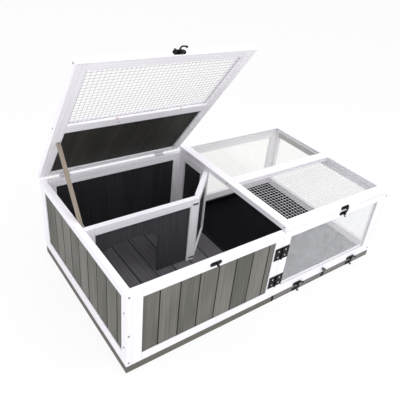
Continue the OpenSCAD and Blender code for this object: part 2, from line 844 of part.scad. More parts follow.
// Hinge and keeper screws that go into the fixed walls
module hinge_screws() from_corner() color(steel) {
    for (p = door_screw_spots(-1)) leaf_face_screw(p);
    for (lid_x = [0, right_lid_x], x = lid_hinges(lid_x)) leaf_screw(x, -1);
    translate([left_latch_x, 0, latch_low_z]) latch_screws();
}

// Screw with its head on a door hinge leaf
module leaf_face_screw(p) {
    translate([p[0], -door_leaf_t, p[1]]) {
        rotate([90, 0, 0]) cylinder(r = head_r, h = head_h);
        rotate([-90, 0, 0]) cylinder(r = shank_r, h = shank_in + door_leaf_t);
    }
}

// Prop stick and its pivot

module prop_hole() {
    translate([inner_l - shank_in, prop_y, prop_z])
        rotate([0, 90, 0]) cylinder(r = prop_screw_r + screw_clear, h = shank_in + cut);
}

module prop_pivot() from_corner() color(steel) {
    translate([inner_l - shank_in, prop_y, prop_z])
        rotate([0, 90, 0]) cylinder(r = prop_screw_r, h = shank_in + prop_t + 3 * run_gap);
    translate([inner_l + prop_t + 2 * run_gap, prop_y, prop_z])
        rotate([0, 90, 0]) cylinder(r = prop_head_r, h = prop_head_h);
}

module prop_stick() from_corner() color(bare_wood)
    translate([prop_x, prop_y, prop_z])
        rotate([prop_lean, 0, 0])
            rotate([90, 0, 90])
                linear_extrude(prop_t)
                    difference() {
                        union() {
                            translate([0, -tip_r]) square([prop_l, prop_w]);
                            circle(r = tip_r);
                            translate([prop_l, 0]) circle(r = tip_r);
                        }
                        circle(r = prop_screw_r + pin_clear);
                    }

// Lids, both drawn shut: side rails run the full depth and three rails lie between them

module lid_frame() {
    inner_a = lid_rail_w + joint_gap;
    inner_b_x = left_lid_w - lid_rail_w - joint_gap;
    rear_a = body_d - lid_rear_w;
    mid_b = lid_mid_y + lid_mid_w;
    mid_z = lid_z + board_t / 2;
    rows = [[0, lid_rail_w], [lid_mid_y, mid_b], [rear_a, body_d]];
    difference() {
        union() {
            for (x = [0, left_lid_w - lid_rail_w])
                block([x, 0, lid_z], [x + lid_rail_w, body_d, lid_top]);
            for (r = rows) block([inner_a, r[0], lid_z], [inner_b_x, r[1], lid_top]);
        }
        net_space(lid_rail_w, lid_mid_y, wire_t / 2 + groove_clear, groove_d, mid_z);
        net_space(mid_b, rear_a, lid_board_t / 2 + groove_clear, groove_d, mid_z);
    }
}

// Flat space in a lid's bay from y_a to y_b, half thick above and below its middle
module net_space(y_a, y_b, half, grow, mid_z) {
    block([lid_rail_w - grow, y_a - grow, mid_z - half],
        [left_lid_w - lid_rail_w + grow, y_b + grow, mid_z + half]);
}

module lid_sheet(half) {
    net_space(lid_mid_y + lid_mid_w, body_d - lid_rear_w, half, groove_d - groove_clear,
        lid_z + board_t / 2);
}

// Welded net: a flat sheet with a hole between each pair of wires
module lid_net() {
    grow = groove_d - groove_clear;
    bay_w = left_lid_w - 2 * lid_rail_w;
    bay_d = lid_mid_y - lid_rail_w;
    step_x = bay_w / net_cols;
    step_y = bay_d / net_bays;
    translate([lid_rail_w, lid_rail_w, lid_z + board_t / 2 - wire_t / 2])
        linear_extrude(wire_t)
            difference() {
                translate([-grow, -grow]) square([bay_w + 2 * grow, bay_d + 2 * grow]);
                for (i = [0 : net_cols - 1], j = [0 : net_bays - 1])
                    translate([i * step_x + wire_t / 2, j * step_y + wire_t / 2])
                        square([step_x - wire_t, step_y - wire_t]);
            }
}

module lid_pilots(hinge_xs) {
    for (x = hinge_xs) leaf_screw(x, 1, screw_clear);
}

module left_lid_frame() from_corner() color(white_paint)
    lid_turned_open() difference() {
        lid_frame();
        lid_pilots(lid_hinges(0));
        translate([left_latch_x, 0, latch_mid_z]) latch_pilots();
    }

module left_lid_board() from_corner() color(dark_panel)
    lid_turned_open() lid_sheet(lid_board_t / 2);

module left_lid_net() from_corner() color(steel) lid_turned_open() lid_net();

module left_lid_leaves() from_corner() color(steel)
    lid_turned_open() for (x = lid_hinges(0)) lid_leaf(x, true);

module left_lid_latch_plate() from_corner() color(black_paint)
    lid_turned_open() translate([left_latch_x, 0, latch_mid_z]) pivot_plate();

module left_lid_screws() from_corner() color(steel)
    lid_turned_open() {
        for (x = lid_hinges(0)) leaf_screw(x, 1);
        translate([left_latch_x, 0, latch_mid_z]) latch_screws();
    }

module left_lid_hook() from_corner() color(black_paint)
    lid_turned_open()
        translate([left_latch_x, 0, latch_mid_z]) rotate([0, -hook_open, 0]) hook();

module right_lid_frame() from_corner() color(white_paint)
    difference() {
        translate([right_lid_x, 0, 0]) lid_frame();
        lid_pilots(lid_hinges(right_lid_x));
        translate([right_latch_x, 0, latch_mid_z]) latch_pilots();
    }

module right_lid_pane() from_corner() color(clear_sheet)
    translate([right_lid_x, 0, 0]) lid_sheet(pane_t / 2);

module right_lid_net() from_corner() color(steel)
    translate([right_lid_x, 0, 0]) lid_net();

module right_lid_leaves() from_corner() color(steel)
    for (x = lid_hinges(right_lid_x)) lid_leaf(x, true);

module right_lid_keeper() from_corner() color(black_paint)
    translate([right_latch_x, 0, latch_mid_z]) keeper_plate();

module right_lid_screws() from_corner() color(steel) {
    for (x = lid_hinges(right_lid_x)) leaf_screw(x, 1);
    translate([right_latch_x, 0, latch_mid_z]) latch_screws();
}

// Door

door_bars = [door_stile_l, door_stile_r - joint_gap, door_rail_b - door_gap, door_rail_t];
tray_latch_xs = [door_x + tray_latch_l_in, inner_r - tray_latch_r_in];

module door_frame() from_corner() color(white_paint)
    difference() {
        translate([door_x, 0, 0])
            grooved_frame(door_w - door_gap / 2, door_z, wall_top, door_bars, pane_set, pane_t);
        for (p = door_screw_spots(1)) translate([p[0], 0, p[1]]) pilot();
        door_latch_spots() latch_pilots();
    }

module door_latch_spots() {
    translate([right_latch_x, 0, latch_low_z]) children();
    for (x = tray_latch_xs) translate([x, 0, tray_plate_z]) children();
}

module door_pane() from_corner() color(clear_sheet)
    translate([door_x, 0, 0])
        sheet_in(door_w - door_gap / 2, door_z, wall_top, door_bars, pane_set, pane_t);

module door_leaves() from_corner() color(black_paint)
    for (z = door_hinges()) door_leaf(z, 1);

module door_latch_plates() from_corner() color(black_paint)
    door_latch_spots() pivot_plate();

// Small knob in the middle of the bottom rail
module door_knob() from_corner() color(black_paint)
    translate([door_mid_x - knob_off, 0, door_z + knob_up])
        rotate([90, 0, 0]) {
            cylinder(r = door_knob_neck_r, h = door_knob_neck_l);
            translate([0, 0, door_knob_neck_l]) cylinder(r = door_knob_r, h = door_knob_t);
        }

module door_screws() from_corner() color(steel) {
    for (p = door_screw_spots(1)) leaf_face_screw(p);
    door_latch_spots() latch_screws();
}

// The top hook stands up beside the lid's knob; the lower hooks are swung aside, off the tray
module top_hook() from_corner() color(black_paint)
    translate([right_latch_x, 0, latch_low_z]) mirror([0, 0, 1]) hook();

module lower_hook(x)
    translate([x, 0, tray_plate_z]) rotate([0, -low_hook_open, 0]) hook(tail = false);

module lower_hook_left() from_corner() color(black_paint) lower_hook(tray_latch_xs[0]);

module lower_hook_right() from_corner() color(black_paint) lower_hook(tray_latch_xs[1]);

// Tray

module tray_pan() from_corner() color(black_paint)
    difference() {
        block([tray_x, board_t + joint_gap, tray_z], [tray_r, tray_end, tray_top]);
        block([tray_x + tray_wall, board_t + joint_gap + tray_wall, tray_z + tray_wall],
            [tray_r - tray_wall, tray_end - tray_wall, tray_top + cut]);
    }

module tray_front() from_corner() color(base_grey)
    difference() {
        block([tray_front_l, 0, tray_gap / 2], [tray_front_r, board_t, base_h - tray_gap / 2]);
        for (x = tray_latch_xs) translate([x, 0, tray_keeper_z]) latch_pilots();
    }

module tray_keepers() from_corner() color(black_paint)
    for (x = tray_latch_xs) translate([x, 0, tray_keeper_z]) keeper_plate();

// Strap folded over the top edge of the tray front, with its tail hanging in front
module tray_pull() from_corner() color(black_paint)
    translate([door_mid_x + pull_off, 0, base_h - tray_gap - pull_down])
        rotate([0, pull_lean, 0])
            translate([-pull_w / 2, -pull_t, -pull_l]) cube([pull_w, pull_t, pull_l]);

module tray_screws() from_corner() color(steel)
    for (x = tray_latch_xs) translate([x, 0, tray_keeper_z]) latch_screws();

base_frame();
bottom_panel();
middle_runner();
floor_planks();
left_wall_frame();
left_wall_planks();
front_panel_frame();
front_panel_planks();
rear_left_frame();
rear_left_planks();
rear_right_frame();
rear_pane();
right_wall_frame();
right_wall_top_rail();
right_pane();
partition_frame();
partition_panel();
slanted_frame();
slanted_panel();
side_partition_frame();
side_partition_panel();
front_keeper();
lid_hinge_leaves_fixed();
lid_hinge_pins();
door_hinge_leaves_fixed();
door_hinge_pins();
frame_screws();
hinge_screws();
prop_pivot();
left_lid_frame();
left_lid_board();
left_lid_net();
left_lid_leaves();
left_lid_latch_plate();
left_lid_screws();
left_lid_hook();
right_lid_frame();
right_lid_pane();
right_lid_net();
right_lid_leaves();
right_lid_keeper();
right_lid_screws();
door_frame();
door_pane();
door_leaves();
door_latch_plates();
door_knob();
door_screws();
top_hook();
lower_hook_left();
lower_hook_right();
tray_pan();
tray_front();
tray_keepers();
tray_pull();
tray_screws();
prop_stick();
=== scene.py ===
"""Wooden reptile enclosure: the finish of every board, pane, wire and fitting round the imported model."""
import itertools
import json
import math

import bmesh
import bpy
from mathutils import Matrix, Vector

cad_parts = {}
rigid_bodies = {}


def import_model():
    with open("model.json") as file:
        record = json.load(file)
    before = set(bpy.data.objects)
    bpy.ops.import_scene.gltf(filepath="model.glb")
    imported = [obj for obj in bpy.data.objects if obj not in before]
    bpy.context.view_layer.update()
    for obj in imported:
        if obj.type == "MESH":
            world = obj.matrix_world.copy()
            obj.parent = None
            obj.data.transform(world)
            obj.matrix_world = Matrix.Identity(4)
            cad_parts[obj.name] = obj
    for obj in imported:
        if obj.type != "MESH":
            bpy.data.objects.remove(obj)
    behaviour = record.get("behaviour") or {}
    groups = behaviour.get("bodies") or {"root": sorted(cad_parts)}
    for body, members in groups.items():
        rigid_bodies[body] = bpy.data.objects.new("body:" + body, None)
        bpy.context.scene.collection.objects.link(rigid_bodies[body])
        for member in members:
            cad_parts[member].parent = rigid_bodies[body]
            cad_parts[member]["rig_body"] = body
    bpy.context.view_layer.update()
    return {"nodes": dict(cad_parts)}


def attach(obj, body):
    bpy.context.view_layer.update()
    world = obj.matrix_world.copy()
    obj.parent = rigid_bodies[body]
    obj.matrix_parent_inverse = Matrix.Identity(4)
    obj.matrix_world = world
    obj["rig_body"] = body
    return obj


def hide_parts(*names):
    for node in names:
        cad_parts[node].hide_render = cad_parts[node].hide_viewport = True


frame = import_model()
nodes = frame["nodes"]

MM = 0.001
UP = Vector((0, 0, 1))
QUARTER_TURN = math.pi / 2

# Sizes that the model's source also has, in metres from the front left corner of the base
CORNER = Vector((-0.525, -0.3, 0))
LID_WIDTH = 0.522
RIGHT_LID_X = 0.528
LID_RAIL = 0.032
LID_MID_Y = 0.278
LID_NET_Z = 0.301
LID_AXIS = Vector((0, 0.60335, 0.291))
LID_OPEN = math.radians(52.7)


# Places

def opening():
    """The turn that opens the left lid about its hinge axis."""
    axis = CORNER + LID_AXIS
    return Matrix.Translation(axis) @ Matrix.Rotation(-LID_OPEN, 4, "X") @ Matrix.Translation(-axis)


def turned(place):
    """A point of the shut left lid, in metres from the corner, where the open lid has it."""
    return opening() @ (CORNER + Vector(place))


# Colours

def paint(red, green, blue):
    """A colour written as 0 to 255, made linear for a socket."""
    shares = [part / 255 for part in (red, green, blue)]
    return tuple(s / 12.92 if s <= 0.04045 else ((s + 0.055) / 1.055) ** 2.4 for s in shares) + (1.0,)


# Small helpers for shader trees

def put(tree, kind, inputs=(), **settings):
    """A new shader node. An input's value is a socket to link from or a constant."""
    made = tree.nodes.new(kind)
    for key, value in settings.items():
        setattr(made, key, value)
    for key, value in dict(inputs).items():
        if isinstance(value, bpy.types.NodeSocket):
            tree.links.new(value, made.inputs[key])
        else:
            made.inputs[key].default_value = value
    return made


def blend_colour(tree, share, first, second):
    """The colour output that goes from first to second as share goes from 0 to 1."""
    return put(tree, "ShaderNodeMix", {0: share, 6: first, 7: second}, data_type="RGBA").outputs[2]


def calc(tree, operation, first, second):
    """One step of arithmetic on values."""
    return put(tree, "ShaderNodeMath", {0: first, 1: second}, operation=operation).outputs[0]


def vector_calc(tree, operation, first, second, output=0):
    """One step of arithmetic on vectors."""
    return put(tree, "ShaderNodeVectorMath", {0: first, 1: second}, operation=operation).outputs[output]


def stretch(tree, place, along):
    """Coordinates squeezed along a board's length, so that a pattern is drawn out along it."""
    return vector_calc(tree, "MULTIPLY", place, (1, 1, along))


def spread(tree, value, low, high, new_low=0.0, new_high=1.0):
    """A value's band from low to high opened out to a new band, and held at its ends."""
    made = put(tree, "ShaderNodeMapRange",
               {0: value, 1: low, 2: high, 3: new_low, 4: new_high}, clamp=True)
    return made.outputs[0]


def noise(tree, place, scale, detail=3.0, rough=0.55, distortion=0.0):
    """A cloudy pattern, from 0 to 1 and mostly near a half."""
    made = put(tree, "ShaderNodeTexNoise", {"Vector": place, "Scale": scale, "Detail": detail,
                                            "Roughness": rough, "Distortion": distortion})
    return made.outputs[0]


def object_place(tree):
    """A piece's own coordinates, which for every piece are those of the shared frame at rest."""
    return put(tree, "ShaderNodeTexCoord").outputs["Object"]


def attribute(tree, name, output="Fac"):
    """One of the values that mark_boards writes on a mesh."""
    return put(tree, "ShaderNodeAttribute", attribute_name=name).outputs[output]


def bump(tree, shader, height, depth, strength=1.0):
    """Fine relief, as deep as the depth in metres."""
    made = put(tree, "ShaderNodeBump", {"Strength": strength, "Distance": depth, "Height": height})
    tree.links.new(made.outputs[0], shader.inputs["Normal"])


# Shared effects

# Scales of the patterns, in features per metre, and how far each is drawn out along the board
FIBRE_SCALE, FIBRE_DRAW = 900.0, 0.02
STREAK_SCALE, STREAK_DRAW = 150.0, 0.045
RING_SCALE, RING_DRAW = 26.0, 0.09
CLOUD_SCALE, CLOUD_DRAW = 8.0, 0.35
FIBRE_SHARE = 0.28

# Paint wears where a patchy noise is over a start, which a larger amount of wear brings down
WEAR_SCALE = 45.0
WEAR_START, WEAR_FULL = 0.78, 0.8
WEAR_REACH = 0.4

# A knot's ragged outline, and the band of its radius over which it fades
KNOT_RAG_SCALE, KNOT_RAG = 160.0, 3 * MM
KNOT_HEART, KNOT_RIM = 0.5, 1.1


def new_group(name, inputs, outputs):
    """A shader group with named sockets, and its two end nodes."""
    made = bpy.data.node_groups.new(name, "ShaderNodeTree")
    for title, kind, value in inputs:
        socket = made.interface.new_socket(name=title, in_out="INPUT", socket_type="NodeSocket" + kind)
        socket.default_value = value
    for title in outputs:
        made.interface.new_socket(name=title, in_out="OUTPUT", socket_type="NodeSocketFloat")
    return made, made.nodes.new("NodeGroupInput"), made.nodes.new("NodeGroupOutput")


def grain_group():
    """Wood grain along a board's own length: fine fibres, wider streaks, rings and slow clouds."""
    tree, start, end = new_group("board_grain", [
        ("Place", "Vector", (0, 0, 0)), ("Fineness", "Float", 1.0), ("Figure", "Float", 0.5),
    ], ["Grain", "Cloud"])
    place = start.outputs["Place"]
    figure = start.outputs["Figure"]
    fine = calc(tree, "MULTIPLY", start.outputs["Fineness"], FIBRE_SCALE)
    wide = calc(tree, "MULTIPLY", start.outputs["Fineness"], STREAK_SCALE)
    fibres = noise(tree, stretch(tree, place, FIBRE_DRAW), fine, 2.0)
    streaks = noise(tree, stretch(tree, place, STREAK_DRAW), wide, 4.0, 0.6, 0.5)
    rings = put(tree, "ShaderNodeTexWave", {
        "Vector": stretch(tree, place, RING_DRAW), "Scale": RING_SCALE, "Distortion": 5.0, "Detail": 2.0,
        "Detail Scale": 1.4,
    }, wave_type="BANDS", bands_direction="X").outputs["Fac"]
    both = calc(tree, "ADD", calc(tree, "MULTIPLY", rings, figure),
                calc(tree, "MULTIPLY", streaks, calc(tree, "SUBTRACT", 1.0, figure)))
    grain = calc(tree, "ADD", calc(tree, "MULTIPLY", both, 1 - FIBRE_SHARE),
                 calc(tree, "MULTIPLY", fibres, FIBRE_SHARE))
    tree.links.new(grain, end.inputs["Grain"])
    tree.links.new(noise(tree, stretch(tree, place, CLOUD_DRAW), CLOUD_SCALE, 2.0), end.inputs["Cloud"])
    return tree


def wear_group():
    """Where an eased edge has rubbed through its paint."""
    tree, start, end = new_group("rubbed_edges", [
        ("Place", "Vector", (0, 0, 0)), ("Edge", "Float", 0.0), ("Amount", "Float", 0.5),
    ], ["Wear"])
    patches = noise(tree, start.outputs["Place"], WEAR_SCALE, 5.0, 0.7)
    low = calc(tree, "SUBTRACT", WEAR_START, calc(tree, "MULTIPLY", start.outputs["Amount"], WEAR_REACH))
    worn = spread(tree, patches, low, WEAR_FULL)
    tree.links.new(calc(tree, "MULTIPLY", worn, start.outputs["Edge"]), end.inputs["Wear"])
    return tree


def knot_group():
    """A round knot that shows through paint: 1 at its heart, fading out at its rim."""
    tree, start, end = new_group("paint_knot", [
        ("Place", "Vector", (0, 0, 0)), ("Centre", "Vector", (0, 0, 0)), ("Radius", "Float", 0.005),
    ], ["Mask"])
    place = start.outputs["Place"]
    rag = put(tree, "ShaderNodeTexNoise", {"Vector": place, "Scale": KNOT_RAG_SCALE}).outputs["Color"]
    moved = vector_calc(tree, "ADD", place, vector_calc(tree, "MULTIPLY", rag, (KNOT_RAG,) * 3))
    gap = vector_calc(tree, "DISTANCE", moved, start.outputs["Centre"], "Value")
    share = calc(tree, "DIVIDE", gap, start.outputs["Radius"])
    tree.links.new(spread(tree, share, KNOT_HEART, KNOT_RIM, 1.0, 0.0), end.inputs["Mask"])
    return tree


GRAIN = grain_group()
WEAR = wear_group()
KNOT = knot_group()


# Kinds of material

# Where the right wall's top rail goes from white in front to grey behind, hidden by the lid's middle rail
RAIL_JOIN_Y = 0.024

KNOT_STRENGTH = 0.8

# How much rougher wood is between its fibres, and how much smoother on them
ROUGHER, SMOOTHER = 0.08, 0.05

# Scales of the other finishes' patterns, in features per metre
METAL_SPECKLE_SCALE, METAL_CLOUD_SCALE = 900.0, 60.0
SCREW_SPECKLE_SCALE = 700.0
LEATHER_SCALE, DUST_SCALE = 650.0, 6.0
FILM_SCALE = 30.0

ACRYLIC_ROUGHNESS, ACRYLIC_IOR = 0.04, 1.49
ACRYLIC_COLOUR = (255, 255, 254)

# What a pane lets through of the light of lamps, floor and sky, and how much paler its film is in places
PASSED_LIGHT = (247, 247, 246)
FILM_PALER = 6


def new_material(name, roughness, metallic=0.0, shine=0.5):
    """A material with its tree and its main shader, with the constants set on the shader."""
    material = bpy.data.materials.new(name)
    material.use_nodes = True
    shader = material.node_tree.nodes["Principled BSDF"]
    shader.inputs["Roughness"].default_value = roughness
    shader.inputs["Metallic"].default_value = metallic
    shader.inputs["Specular IOR Level"].default_value = shine
    return material, material.node_tree, shader


def with_knots(tree, colour, knots):
    """The colour with a stain at each knot, given as its centre, radius and stain."""
    for centre, radius, stain in knots:
        knot = put(tree, "ShaderNodeGroup", node_tree=KNOT)
        tree.links.new(object_place(tree), knot.inputs["Place"])
        knot.inputs["Centre"].default_value = centre
        knot.inputs["Radius"].default_value = radius
        mask = calc(tree, "MULTIPLY", knot.outputs["Mask"], KNOT_STRENGTH)
        colour = blend_colour(tree, mask, colour, paint(*stain))
    return colour


def with_front(tree, colour, front):
    """The colour behind the rail's join, and another in front of it."""
    depth = put(tree, "ShaderNodeSeparateXYZ", {0: object_place(tree)}).outputs["Y"]
    behind = spread(tree, depth, RAIL_JOIN_Y, RAIL_JOIN_Y + MM)
    return blend_colour(tree, behind, paint(*front), colour)


def wood(name, dark, light, roughness, shine=0.3, band=(0.3, 0.7), figure=0.3, fineness=1.0, cloud=0.5,
         tones=0.12, wear=0.0, bare=(150, 135, 115), depth=0.25 * MM, knots=(), seam=None, front=None):
    """Painted, stained or bare wood. Its grain follows each board, each board has a tone of its own, and
    its eased edges wear. A dark colour on the 45 degree groove faces between planks is painted shade in
    the grooves."""
    material, tree, shader = new_material(name, roughness, shine=shine)
    place = attribute(tree, "board_place", "Vector")
    grain = put(tree, "ShaderNodeGroup", node_tree=GRAIN)
    tree.links.new(place, grain.inputs["Place"])
    grain.inputs["Fineness"].default_value = fineness
    grain.inputs["Figure"].default_value = figure
    share = spread(tree, grain.outputs["Grain"], *band)
    clouded = calc(tree, "ADD", share, calc(tree, "MULTIPLY", grain.outputs["Cloud"], cloud))
    toned = calc(tree, "ADD", calc(tree, "SUBTRACT", clouded, cloud / 2),
                 calc(tree, "MULTIPLY", attribute(tree, "board_tone"), tones))
    colour = with_knots(tree, blend_colour(tree, toned, paint(*dark), paint(*light)), knots)
    if front:
        colour = with_front(tree, colour, front)
    # Painted shade: the 45 degree groove faces between planks take a dark colour
    if seam:
        colour = blend_colour(tree, attribute(tree, "board_seam"), colour, paint(*seam))
    rubbed = put(tree, "ShaderNodeGroup", node_tree=WEAR)
    tree.links.new(place, rubbed.inputs["Place"])
    tree.links.new(attribute(tree, "board_edge"), rubbed.inputs["Edge"])
    rubbed.inputs["Amount"].default_value = wear
    colour = blend_colour(tree, rubbed.outputs["Wear"], colour, paint(*bare))
    tree.links.new(colour, shader.inputs["Base Color"])
    rough = spread(tree, grain.outputs["Grain"], 0.3, 0.7, roughness + ROUGHER, roughness - SMOOTHER)
    tree.links.new(rough, shader.inputs["Roughness"])
    bump(tree, shader, grain.outputs["Grain"], depth)
    return material


def metal(name, dark, light, roughness, metallic, shine=0.5):
    """Plated or coated metal with a fine cloudy speckle."""
    material, tree, shader = new_material(name, roughness, metallic, shine)
    place = object_place(tree)
    fine = noise(tree, place, METAL_SPECKLE_SCALE)
    broad = noise(tree, place, METAL_CLOUD_SCALE)
    share = spread(tree, calc(tree, "MULTIPLY", calc(tree, "ADD", fine, broad), 0.5), 0.35, 0.65)
    tree.links.new(blend_colour(tree, share, paint(*dark), paint(*light)), shader.inputs["Base Color"])
    tree.links.new(spread(tree, broad, 0.3, 0.7, roughness - 0.06, roughness + 0.1),
                   shader.inputs["Roughness"])
    bump(tree, shader, fine, 0.05 * MM, 0.6)
    return material


def screw_metal(name, dark, light, black, roughness, metallic):
    """Plated screws. Those whose heads are marked as dark are black like the plates they hold."""
    material, tree, shader = new_material(name, roughness, metallic)
    marked = attribute(tree, "dark_head")
    speckle = noise(tree, object_place(tree), SCREW_SPECKLE_SCALE)
    plated = blend_colour(tree, speckle, paint(*dark), paint(*light))
    tree.links.new(blend_colour(tree, marked, plated, paint(*black)), shader.inputs["Base Color"])
    tree.links.new(spread(tree, marked, 0, 1, metallic, 0.0), shader.inputs["Metallic"])
    tree.links.new(spread(tree, marked, 0, 1, roughness, roughness + 0.25), shader.inputs["Roughness"])
    return material


def moulded(name, dark, light, roughness, shine):
    """Black moulded plastic or rubbery strap: a fine leather-like texture and soft dust."""
    material, tree, shader = new_material(name, roughness, shine=shine)
    place = object_place(tree)
    cells = put(tree, "ShaderNodeTexVoronoi", {"Vector": place, "Scale": LEATHER_SCALE},
                feature="SMOOTH_F1").outputs["Distance"]
    dust = spread(tree, noise(tree, place, DUST_SCALE, 6.0, 0.65), 0.45, 0.75)
    tree.links.new(blend_colour(tree, dust, paint(*dark), paint(*light)), shader.inputs["Base Color"])
    tree.links.new(spread(tree, dust, 0, 1, roughness, roughness + 0.15), shader.inputs["Roughness"])
    bump(tree, shader, cells, 0.12 * MM, 0.5)
    return material


def acrylic(name, film, share, skin_shine=0.5, mottle_scale=5.0, mottle=0.005):
    """Clear acrylic under a thin pale protective film. The film's share varies by the mottle. The light of
    lamps, floor and sky passes through the pane."""
    material, tree, shader = new_material(name, ACRYLIC_ROUGHNESS)
    shader.inputs["Transmission Weight"].default_value = 1.0
    shader.inputs["IOR"].default_value = ACRYLIC_IOR
    shader.inputs["Base Color"].default_value = paint(*ACRYLIC_COLOUR)
    place = object_place(tree)
    haze = spread(tree, noise(tree, place, mottle_scale, 5.0, 0.65), 0.35, 0.65,
                  share - mottle, share + mottle)
    skin = put(tree, "ShaderNodeBsdfPrincipled", {"Roughness": 0.5, "Specular IOR Level": skin_shine})
    paler = tuple(min(part + FILM_PALER, 255) for part in film)
    tree.links.new(blend_colour(tree, noise(tree, place, FILM_SCALE, 4.0), paint(*film), paint(*paler)),
                   skin.inputs["Base Color"])
    filmed = put(tree, "ShaderNodeMixShader", {0: haze, 1: shader.outputs[0], 2: skin.outputs[0]})
    light_path = put(tree, "ShaderNodeLightPath")
    unseen = put(tree, "ShaderNodeBsdfTransparent", {"Color": paint(*PASSED_LIGHT)})
    passing = calc(tree, "MAXIMUM", light_path.outputs["Is Shadow Ray"],
                   light_path.outputs["Is Diffuse Ray"])
    mixed = put(tree, "ShaderNodeMixShader", {0: passing, 1: filmed.outputs[0], 2: unseen.outputs[0]})
    tree.links.new(mixed.outputs[0], tree.nodes["Material Output"].inputs["Surface"])
    return material


# Materials

# Knots that show through the paint: centre, radius and stain
LID_KNOTS = [
    (turned((0.181, 0.2785, 0.294)), 0.006, (205, 176, 160)),
    (turned((0.190, 0.300, 0.292)), 0.0055, (205, 176, 160)),
    (turned((0.396, 0.2785, 0.294)), 0.006, (214, 186, 172)),
    (turned((0.010, 0.0035, 0.292)), 0.0035, (222, 200, 180)),
    (turned((0.018, 0.0045, 0.292)), 0.0035, (222, 200, 180)),
    (turned((0.027, 0.0055, 0.292)), 0.0035, (222, 200, 180)),
]
WALL_KNOTS = [
    (CORNER + Vector((0.028, 0.5905, 0.290)), 0.006, (206, 180, 150)),
    (CORNER + Vector((0.037, 0.5910, 0.290)), 0.005, (206, 180, 150)),
]
UNDER_WHITE = (216, 204, 190)
SCREW_BLACK = (10, 10, 12)

white = wood("white_paint", (239, 237, 242), (252, 251, 254), 0.5, 0.35,
             wear=0.75, bare=UNDER_WHITE, depth=0.1 * MM, knots=WALL_KNOTS)
lid_white = wood("white_lid_paint", (240, 238, 242), (253, 252, 254), 0.5, 0.35,
                 wear=0.6, bare=UNDER_WHITE, depth=0.1 * MM, knots=LID_KNOTS)
# The strong board tones of these planks stand partly for light falling unevenly across the front planks:
# painted light as well as each plank's own tone
grey_planks = wood("grey_plank_stain", (90, 90, 83), (122, 121, 114), 0.62,
                   band=(0.25, 0.75), figure=0.12, fineness=0.55, cloud=1.9, tones=0.4,
                   wear=0.2, bare=(140, 136, 128), seam=(36, 35, 32))
# The floor is coloured darker than its stain, standing in for the shade over the floor: painted shade
floor_stain_and_shade = wood("grey_floor_stain_and_painted_shade", (82, 80, 84), (106, 104, 107), 0.62,
                  figure=0.12, fineness=0.6, cloud=0.9, tones=0.3, seam=(36, 35, 37))
rail_grey = wood("grey_rail_stain", (84, 84, 74), (108, 108, 96), 0.6,
                 fineness=0.8, wear=0.3, front=(244, 243, 247))
base_grey = wood("grey_base_paint", (92, 89, 83), (109, 106, 99), 0.6, wear=0.3, bare=(130, 122, 110))
tray_grey = wood("grey_tray_paint", (111, 110, 105), (129, 129, 123), 0.6, wear=0.3, bare=(138, 132, 120))
black_planks = wood("black_plank_paint", (33, 33, 36), (48, 48, 52), 0.55, 0.25, figure=0.1, fineness=0.6)
dark_board = wood("dark_board_paint", (39, 38, 33), (57, 56, 50), 0.6, figure=0.1, fineness=0.12)
runner_black = wood("black_runner_paint", (9, 9, 12), (16, 16, 20), 0.6, 0.1, figure=0.1)
panel_grey = wood("dark_panel_paint", (55, 56, 60), (73, 74, 78), 0.6, figure=0.08, fineness=0.8)
stick_wood = wood("bare_stick_wood", (136, 126, 114), (174, 162, 146), 0.75, 0.25,
                  figure=0.35, wear=0.4, bare=(186, 174, 152), depth=0.2 * MM)
clear = acrylic("filmed_acrylic", (253, 252, 248), 0.05)
door_clear = acrylic("filmed_door_acrylic", (241, 245, 251), 0.15, 0.2, 40.0, 0.04)
# Lit and shaded copies of the same galvanised wire: the darker one, for the open left lid's net seen from
# its shaded underside, is painted shade; the near-white one, for the right lid's net, is painted light
wire_painted_shaded = metal("galvanised_wire_painted_shaded", (170, 170, 172), (195, 195, 197), 0.45, 0.2)
wire_painted_lit = metal("galvanised_wire_painted_lit", (250, 250, 251), (255, 255, 255), 0.6, 0.0, 0.3)
zinc = metal("zinc_plate", (206, 206, 208), (230, 230, 232), 0.45, 0.25)
screw_steel = screw_metal("plated_screw_steel", (178, 178, 182), (222, 222, 226), SCREW_BLACK, 0.3, 0.9)
dull_screws = screw_metal("dull_screw_steel", (120, 124, 132), (160, 162, 168), SCREW_BLACK, 0.4, 0.5)
# Dark blue for the strips that stand for the shadowed gaps at the partition's joints: painted shade
joint_shadow_blue = metal("dark_blue_joint_shadow", (44, 54, 70), (70, 82, 100), 0.45, 0.2, 0.3)
black_metal = metal("black_coated_metal", (6, 6, 7), (12, 12, 14), 0.5, 0.0, 0.2)
grey_knob = metal("grey_coated_knob", (70, 72, 71), (92, 94, 92), 0.5, 0.0, 0.3)
tray_black = moulded("black_tray_plastic", (7, 8, 12), (13, 14, 19), 0.7, 0.08)
strap_black = moulded("black_strap", (10, 10, 12), (22, 22, 24), 0.75, 0.2)


# Pieces made from the model's solids

board_numbers = itertools.count(1)

# Steps that spread the boards' patterns and tones evenly, and how far apart the patterns lie, in metres
BOARD_STEPS = (0.618, 0.414, 0.732)
PATTERN_REACH = 3

# A plank's seam faces lie at 45 degrees to its wide face, so their cosines are in this band
SEAM_COSINES = (0.6, 0.8)

# Screws near the door hinges and along the rear edge are bright, and those of the latches are black
DOOR_SEAM_X = 0.53
BRIGHT_REACH = 0.03
BRIGHT_REAR_Y = 0.5

# Edges that are eased turn by more than this and are longer than this
EASED_TURN = math.radians(25)
EASED_LENGTH = 8 * MM

# Faces that lie this close to one plane are joined, and rounded pieces stay smooth up to this turn
FLAT_TURN = math.radians(0.4)
SMOOTH_TURN = math.radians(35)


def islands(bm):
    """The separate solids of a mesh, each as a list of its corners."""
    left = set(bm.verts)
    while left:
        start = left.pop()
        found, queue = [start], [start]
        while queue:
            for edge in queue.pop().link_edges:
                for corner in edge.verts:
                    if corner in left:
                        left.discard(corner)
                        found.append(corner)
                        queue.append(corner)
        yield found


